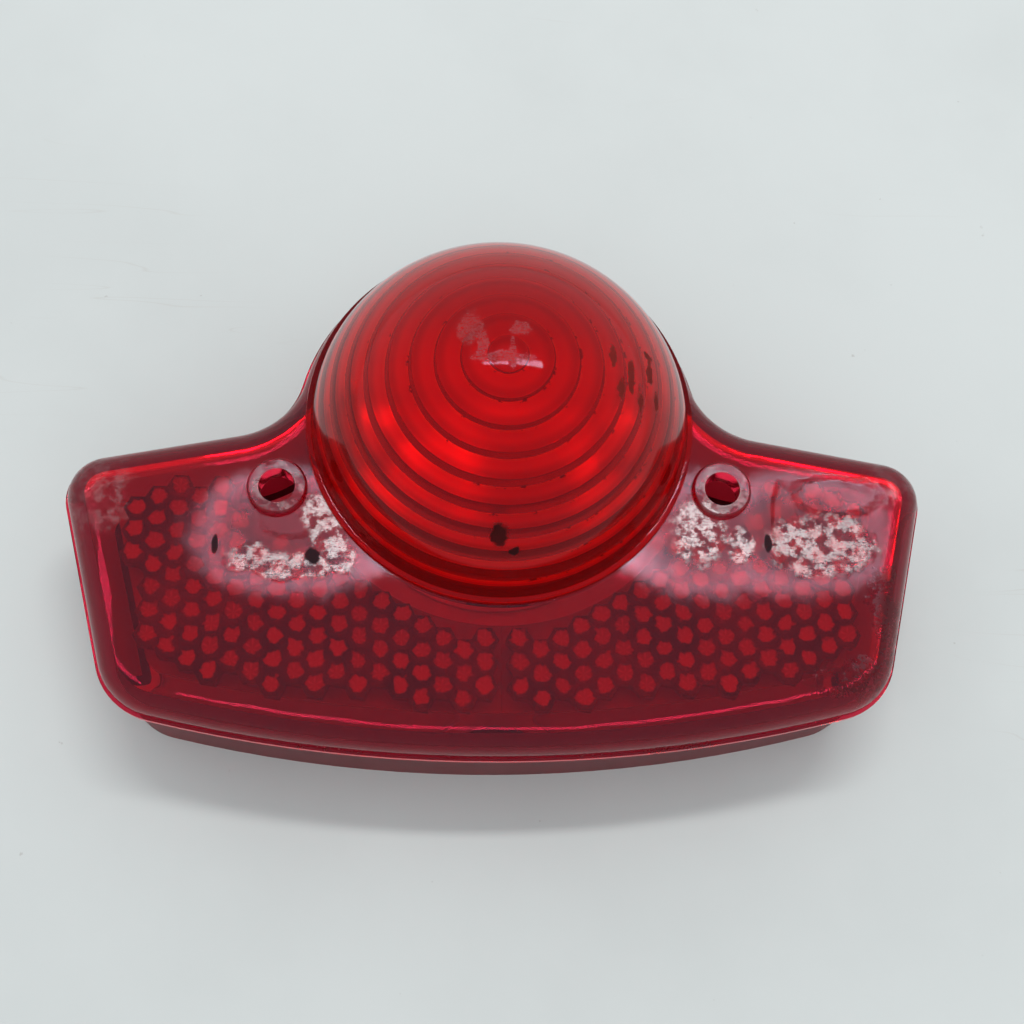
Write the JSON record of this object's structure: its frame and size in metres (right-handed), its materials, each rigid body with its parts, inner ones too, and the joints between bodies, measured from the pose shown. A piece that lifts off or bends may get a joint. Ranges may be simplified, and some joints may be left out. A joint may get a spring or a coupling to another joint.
{
  "type": "tail light",
  "caption": "Motorcycle tail light: red domed lens with stepped rings between two reflex reflector wings, over a base plate with a festoon bulb.",
  "frame": {"origin": "on the dome's axis, in the mounting plane at the back of the base plate", "axes": "+Z out of the mounting plane through the dome, +X across the wings, +Y towards the dome's free side"},
  "size_m": [0.1284, 0.0815, 0.0482],
  "materials": {
    "dome_red": "clear bright red moulding, scuffed at the top",
    "shell_red": "clear crimson moulding, hazy and scuffed",
    "prism_red": "clear crimson moulding with hexagonal prisms underneath",
    "dark_backing": "dark matt plate",
    "white_paint": "white enamel on pressed steel",
    "black_rubber": "soft black rubber",
    "reflector_white": "glossy white enamel on pressed steel",
    "plated_steel": "zinc-plated steel",
    "pale_insulator": "pale moulded insulating plastic",
    "spring_brass": "springy brass sheet",
    "rivet_brass": "turned brass",
    "clear_glass": "clear bulb glass",
    "cap_nickel": "nickel-plated cap",
    "filament_wire": "fine bare wire"
  },
  "bodies": {
    "base": {"base_plate": "white_paint", "rim_gasket": "black_rubber", "cable_grommet": "black_rubber", "bulb_reflector": "reflector_white", "reflector_rivets": "plated_steel", "insulator_strip": "pale_insulator", "contact_foot_live": "spring_brass", "contact_foot_earth": "spring_brass", "contact_rivet_live": "rivet_brass", "contact_rivet_earth": "rivet_brass", "terminal_washer": "plated_steel", "terminal_nut": "rivet_brass", "earth_tab": "spring_brass", "earth_tab_rivet": "plated_steel"},
    "lens": {"lens_dome": "dome_red", "wing_shell": "shell_red", "reflector_insert_left": "prism_red", "reflector_insert_right": "prism_red", "reflector_backing_left": "dark_backing", "reflector_backing_right": "dark_backing"},
    "bulb": {"bulb_glass": "clear_glass", "bulb_cap_left": "cap_nickel", "bulb_cap_right": "cap_nickel", "filament_leads": "filament_wire", "filament_coil": "filament_wire"},
    "blade_live": {"contact_blade_live": "spring_brass"},
    "blade_earth": {"contact_blade_earth": "spring_brass"},
    "screw": {"terminal_screw": "plated_steel"}
  },
  "joints": [
    {"name": "lens_lift", "type": "slide", "parent": "base", "child": "lens", "axis": [0, 0, 1], "range_m": [0, 0.06]},
    {"name": "bulb_lift", "type": "slide", "parent": "base", "child": "bulb", "axis": [0, 0, 1], "range_m": [0, 0.008]},
    {"name": "live_blade_flex", "type": "hinge", "parent": "base", "child": "blade_live", "pos_m": [-0.0175, 0, 0.0153], "axis": [0, -1, 0], "range_deg": [0, 4], "stiffness_Nm_per_rad": 0.02},
    {"name": "earth_blade_flex", "type": "hinge", "parent": "base", "child": "blade_earth", "pos_m": [0.0175, 0, 0.0153], "axis": [0, 1, 0], "range_deg": [0, 4], "stiffness_Nm_per_rad": 0.02},
    {"name": "terminal_screw_turn", "type": "hinge", "parent": "base", "child": "screw", "pos_m": [-0.006, 0, 0.0158], "axis": [0, 0, 1], "continuous": true}
  ]
}
